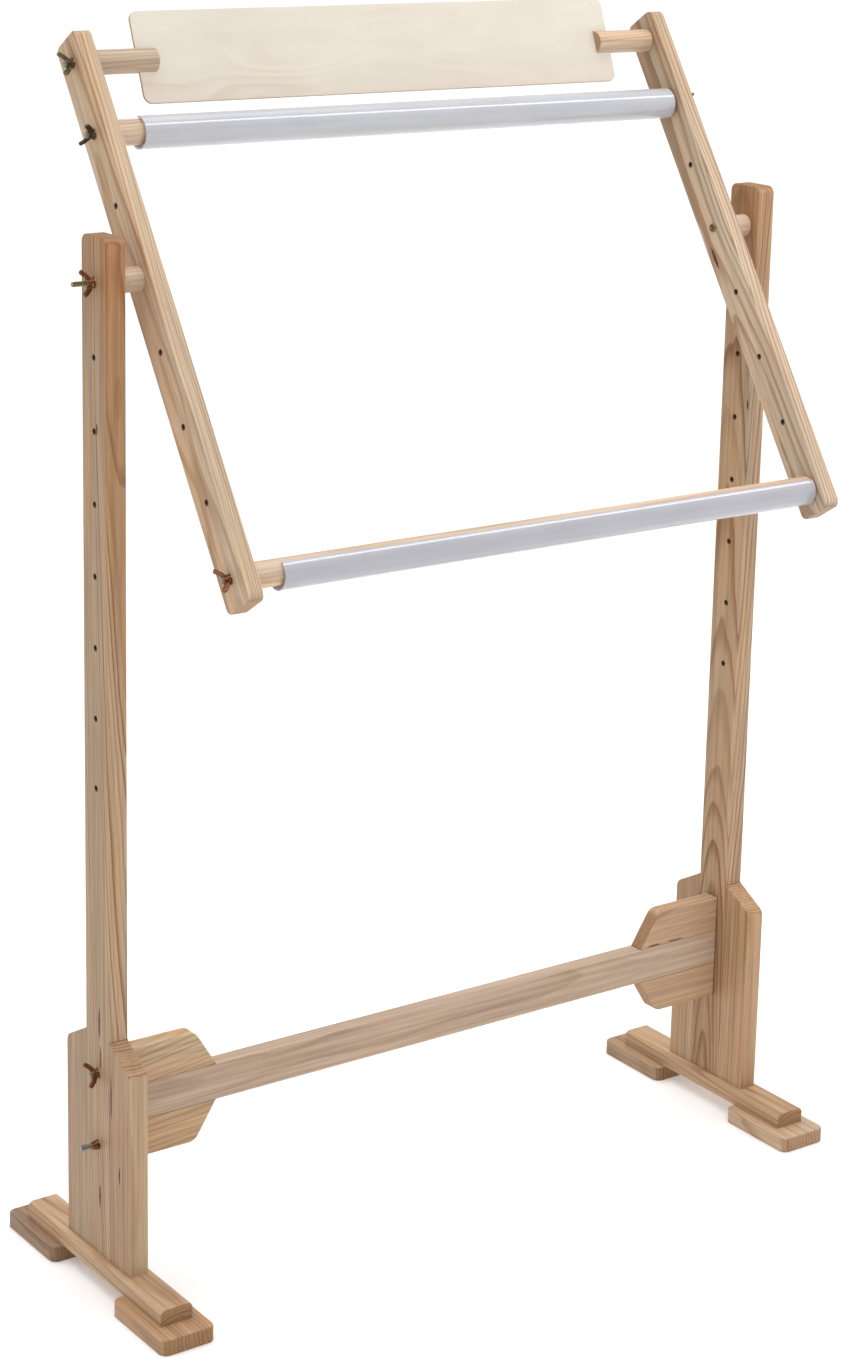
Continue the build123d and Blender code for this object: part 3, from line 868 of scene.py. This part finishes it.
def add_piece(name, mesh, body, slot, material, *nodes):
    """A piece of the visual model: what it rides on and the CAD nodes it stands for; the slot
    argument is not used.
    """
    mesh.materials.clear()
    mesh.materials.append(material)
    mesh.shade_smooth()
    mesh.set_sharp_from_angle(angle=SHARP_ANGLE)
    piece = bpy.data.objects.new(name, mesh)
    scene.collection.objects.link(piece)
    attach(piece, body)
    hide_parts(*nodes)


def mesh_from(name, parts, place=None):
    """One mesh from several lists of vertices and faces."""
    verts, faces = [], []
    for part_verts, part_faces in parts:
        first = len(verts)
        verts.extend(part_verts)
        faces.extend(tuple(first + index for index in face) for face in part_faces)
    mesh = bpy.data.meshes.new(name)
    mesh.from_pydata(verts, [], faces)
    if place is not None:
        mesh.transform(place)
    mesh.validate()
    return mesh


def moved(part, place):
    verts, faces = part
    return [tuple(place @ Vector(vert)) for vert in verts], faces


def same_stud(key, side, height):
    return key[0] == side and abs(key[1] - height) < STUDS_APART


def cylinders(node):
    """The straight studs in a CAD node: side, axis y, axis z, inner end and outer end."""
    groups = {}
    for vertex in frame["nodes"][node].data.vertices:
        side = -1 if vertex.co.x < 0 else 1
        own = (side, vertex.co.z)
        key = next((key for key in groups if same_stud(key, *own)), own)
        groups.setdefault(key, []).append(vertex.co)
    found = []
    for (side, _), points in groups.items():
        middle = []
        for axis in (1, 2):
            places = [point[axis] for point in points]
            middle.append((min(places) + max(places)) / 2)
        reach = [abs(point.x) for point in points]
        found.append((side, *middle, min(reach), max(reach)))
    return found


def studs(node, body):
    """Threaded rod in place of the plain cylinders of a CAD node."""
    parts = []
    for side, y, z, inner, outer in cylinders(node):
        rod = turned(thread_rows(0.0, outer - inner))
        parts.append(moved(rod, out_along(side, side * inner, y, z)))
    add_piece("threaded_" + node, mesh_from(node, parts), body, "steel", ZINC, node)


studs("stretcher_studs", "stand")
studs("rod_top_studs", "top_rod")
studs("rod_bottom_studs", "bottom_rod")
for side in SIDES:
    studs(f"peg_{side}_stud", f"{side}_peg")

# ---- pivot bolts -------------------------------------------------------------------------

HEAD_R = 4.6 * MM
HEAD_H = 2.8 * MM
HEAD_RIM = 1.0 * MM  # the straight rim under the dome
BOLT_THREAD = 34 * MM  # threaded length at the outer end
DOME_STEPS = 9
DOME_START = 0.4  # the first row's place, in steps from the dome's top
SMALL_BEVEL = 0.15 * MM
THREAD_RUNOUT = 0.2 * MM  # where the shank narrows to the thread


def pivot_bolt(name, side):
    """A domed head on the bar's inner face and a long shank, threaded at its outer end."""
    node = f"pivot_bolt_{name}"
    reach = [abs(vertex.co.x) for vertex in frame["nodes"][node].data.vertices]
    head, tip = min(reach), max(reach)
    _, y, z = (sum(pair) / 2 for pair in zip(*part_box(node)))
    rows = []
    for i in range(DOME_STEPS):
        swing = math.pi / 2 * (i + DOME_START) / (DOME_STEPS - 1 + DOME_START)
        rise = (HEAD_H - HEAD_RIM) * (1 - math.cos(swing))
        rows.append((rise, HEAD_R * math.sin(swing)))
    rows.append((HEAD_H - SMALL_BEVEL, HEAD_R))
    rows.append((HEAD_H, HEAD_R - SMALL_BEVEL))
    rows.append((HEAD_H, STUD_R))
    length = tip - head
    rows.append((length - BOLT_THREAD - THREAD_RUNOUT, STUD_R))
    rows.extend(thread_rows(length - BOLT_THREAD, length))
    mesh = mesh_from(node, [turned(rows)], out_along(side, side * head, y, z))
    add_piece(f"domed_bolt_{name}", mesh, "frame", "bronze", BRASS, node)


for name, side in SIDES.items():
    pivot_bolt(name, side)

# ---- wing nuts ---------------------------------------------------------------------------

NUT_ROWS = (  # height and radius of the hub, up the outside, in mm
    (0.0, 4.5),
    (0.25, 4.85),
    (1.1, 4.9),
    (1.5, 4.5),
    (2.4, 4.1),
    (5.6, 3.85),
    (6.7, 3.7),
    (7.0, 3.45),
)
NUT_BORE = 2.62  # mm, like all the nut's sizes here
NUT_CHAMFER = 0.3
HUB_SPOKES = 40
WING_PATH = ((2.9, 2.6), (5.6, 4.3), (8.4, 6.9), (10.6, 9.6), (12.0, 11.4))  # out, up, mm
WING_HALF_BAND = (2.5, 2.6, 2.7, 2.6, 2.2)  # half the wing's height along its path, mm
WING_HALF_THICK = (1.25, 1.1, 1.0, 1.05, 1.1)
WING_STEPS = 14
WING_SIDES = 16
WING_TIP = 0.14  # the share of the wing's length that rounds off
WING_SQUARE = 0.6  # 1 would make its section an ellipse
WING_NEAR = 0.02  # how far each way its direction is taken over
NUT_VOXEL = 0.36
NUT_SOFTEN = 0.5
NUT_SOFTEN_TIMES = 3


def along_path(values, t):
    """A value between the given ones, by a Catmull-Rom curve, for t from 0 to 1."""
    place = t * (len(values) - 1)
    index = min(int(place), len(values) - 2)
    f = place - index
    before, after = values[index], values[index + 1]
    lead = values[max(index - 1, 0)]
    trail = values[min(index + 2, len(values) - 1)]
    a = 2 * before
    b = after - lead
    c = 2 * lead - 5 * before + 4 * after - trail
    d = 3 * before - lead - 3 * after + trail
    return 0.5 * (a + b * f + c * f * f + d * f ** 3)


def squared(wave):
    """A sine or cosine pushed out towards a rounded rectangle's."""
    return math.copysign(abs(wave) ** WING_SQUARE, wave)


def wing(way):
    """One curved wing: a flattened tube that widens and rounds off at its tip."""
    verts, faces = [], []
    outs = [point[0] for point in WING_PATH]
    ups = [point[1] for point in WING_PATH]
    for step in range(WING_STEPS + 1):
        t = step / WING_STEPS
        out, up = along_path(outs, t), along_path(ups, t)
        before, after = max(0.0, t - WING_NEAR), min(1.0, t + WING_NEAR)
        run = along_path(outs, after) - along_path(outs, before)
        rise = along_path(ups, after) - along_path(ups, before)
        length = math.hypot(run, rise)
        run, rise = run / length, rise / length
        into_tip = max(0.0, (t - 1 + WING_TIP) / WING_TIP)
        close = math.sqrt(max(0.0, 1 - into_tip ** 2)) * 0.97 + 0.03
        band = along_path(WING_HALF_BAND, t) * close
        thick = along_path(WING_HALF_THICK, t) * (0.35 + 0.65 * close)
        for k in range(WING_SIDES):
            angle = 2 * math.pi * k / WING_SIDES
            over = squared(math.cos(angle)) * band
            off = squared(math.sin(angle)) * thick
            verts.append((way * (out - rise * over), off, up + run * over))
    for step in range(WING_STEPS):
        low, high = step * WING_SIDES, (step + 1) * WING_SIDES
        for k in range(WING_SIDES):
            after = (k + 1) % WING_SIDES
            faces.append((low + k, low + after, high + after, high + k))
    faces.append(tuple(range(WING_SIDES))[::-1])
    faces.append(tuple(range(WING_STEPS * WING_SIDES, (WING_STEPS + 1) * WING_SIDES)))
    if way > 0:
        faces = [tuple(reversed(face)) for face in faces]
    return verts, faces


def hub():
    """The nut's round middle, with its bore: a closed ring round Z."""
    top = NUT_ROWS[-1][0]
    mouth = NUT_BORE + NUT_CHAMFER
    inside = ((top, mouth), (top - NUT_CHAMFER, NUT_BORE), (NUT_CHAMFER, NUT_BORE), (0.0, mouth))
    loop = [*NUT_ROWS, *inside]
    verts, faces = [], []
    for height, radius in loop:
        for k in range(HUB_SPOKES):
            angle = 2 * math.pi * k / HUB_SPOKES
            verts.append((radius * math.cos(angle), radius * math.sin(angle), height))
    for row in range(len(loop)):
        low, high = row * HUB_SPOKES, (row + 1) % len(loop) * HUB_SPOKES
        for k in range(HUB_SPOKES):
            after = (k + 1) % HUB_SPOKES
            faces.append((low + k, low + after, high + after, high + k))
    return verts, faces


def cast_nut():
    """Hub and wings fused into one skin and softened like a die casting, in metres."""
    parts = [hub(), wing(1), wing(-1)]
    rough = bpy.data.objects.new("nut_rough", mesh_from("nut_rough", parts))
    scene.collection.objects.link(rough)
    fuse = rough.modifiers.new("fuse", "REMESH")
    fuse.mode = "VOXEL"
    fuse.voxel_size = NUT_VOXEL
    soften = rough.modifiers.new("soften", "SMOOTH")
    soften.factor = NUT_SOFTEN
    soften.iterations = NUT_SOFTEN_TIMES
    graph = bpy.context.evaluated_depsgraph_get()
    mesh = bpy.data.meshes.new_from_object(rough.evaluated_get(graph))
    mesh.transform(Matrix.Scale(MM, 4))
    bpy.data.objects.remove(rough)
    return mesh


def nut_place(node, joint, side):
    """Where a nut sits and which way its wings point, from the CAD nut."""
    _, y, z = joint["pos_m"]
    verts = [vertex.co for vertex in frame["nodes"][node].data.vertices]
    seat = min(abs(co.x) for co in verts)
    far = max(verts, key=lambda co: math.hypot(co.y - y, co.z - z))
    across = Vector((0, far.y - y, far.z - z)).normalized()
    outward = X * side
    turn = Matrix((across, outward.cross(across), outward)).transposed()
    return Matrix.Translation((side * seat, y, z)) @ turn.to_4x4()


NUT_FINISH = {
    "pivot": COPPER,
    "stretcher_upper": COPPER,
    "stretcher_lower": COPPER,
    "peg": OLIVE,
    "rod_top": OLIVE,
    "rod_bottom": COPPER,
}
nut_shape = cast_nut()
for spot, finish in NUT_FINISH.items():
    for name, side in SIDES.items():
        body = f"nut_{spot}_{name}"
        node = f"wing_nut_{spot}_{name}"
        mesh = nut_shape.copy()
        mesh.transform(nut_place(node, joints[body + "_turn"], side))
        add_piece(f"cast_{node}", mesh, body, "bronze", finish, node)
for node in ("post_washers", "bar_washers"):
    dress(node, COPPER)
